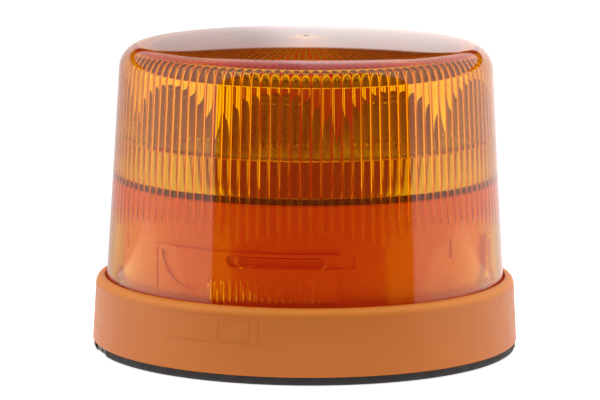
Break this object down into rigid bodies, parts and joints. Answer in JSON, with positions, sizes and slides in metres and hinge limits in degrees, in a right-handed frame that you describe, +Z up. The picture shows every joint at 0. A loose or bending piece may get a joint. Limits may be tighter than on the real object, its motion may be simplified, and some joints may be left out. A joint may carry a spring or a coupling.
{
  "type": "warning beacon",
  "caption": "Flanged round warning beacon with a fluted amber dome that turns to unlock over a ring of light niches.",
  "frame": {"origin": "centre of the rubber pad's underside", "axes": "+Z up along the dome's axis; the face with the blank label frame looks along -Y"},
  "size_m": [0.168, 0.168, 0.1234],
  "materials": {
    "orange_plastic": "matte, fine moulded grain",
    "tower_plastic": "satin moulded",
    "black_rubber": "matte",
    "grey_plastic": "matte",
    "brass": "machined",
    "zinc_steel": "zinc plated",
    "spring_steel": "bright",
    "green_board": "satin solder mask",
    "white_board": "satin solder mask",
    "black_plastic": "matte",
    "blue_sleeve": "glossy sleeve",
    "ferrite": "matte",
    "enamelled_copper": "glossy enamel",
    "cream_plastic": "satin",
    "lead_insulation": "satin",
    "aluminium": "milled",
    "plated_plastic": "metallised",
    "led_body": "clear lens over yellow emitter",
    "amber_plastic": "clear amber, glossy outside, fluted inside"
  },
  "bodies": {
    "base": {"base_pad": "black_rubber", "drain_insert": "grey_plastic", "base_housing": "orange_plastic", "mount_inserts": "brass", "cable_grommet": "black_rubber", "vent_plug": "grey_plastic", "dome_seal": "black_rubber", "tower_shell": "tower_plastic", "tower_screws": "zinc_steel", "detent_spring": "spring_steel", "driver_board": "green_board", "board_screws": "zinc_steel", "terminal_block": "black_plastic", "terminal_screws": "zinc_steel", "capacitors": "blue_sleeve", "inductor_core": "ferrite", "inductor_coil": "enamelled_copper", "power_transistors": "black_plastic", "controller_chips": "black_plastic", "board_connector": "cream_plastic", "led_leads": "lead_insulation", "deck_gasket": "black_rubber", "heat_sink": "aluminium", "unit_screws": "zinc_steel", "trim_ring": "plated_plastic", "led_board": "white_board", "leds": "led_body", "led_connector": "cream_plastic", "reflector": "plated_plastic", "top_cover": "black_plastic", "top_screws": "zinc_steel"},
    "dome": {"dome_lens": "amber_plastic"}
  },
  "joints": [
    {"name": "dome_turn", "type": "hinge", "parent": "base", "child": "dome", "pos_m": [0, 0, 0.03], "axis": [0, 0, 1], "range_deg": [0, 33]}
  ]
}
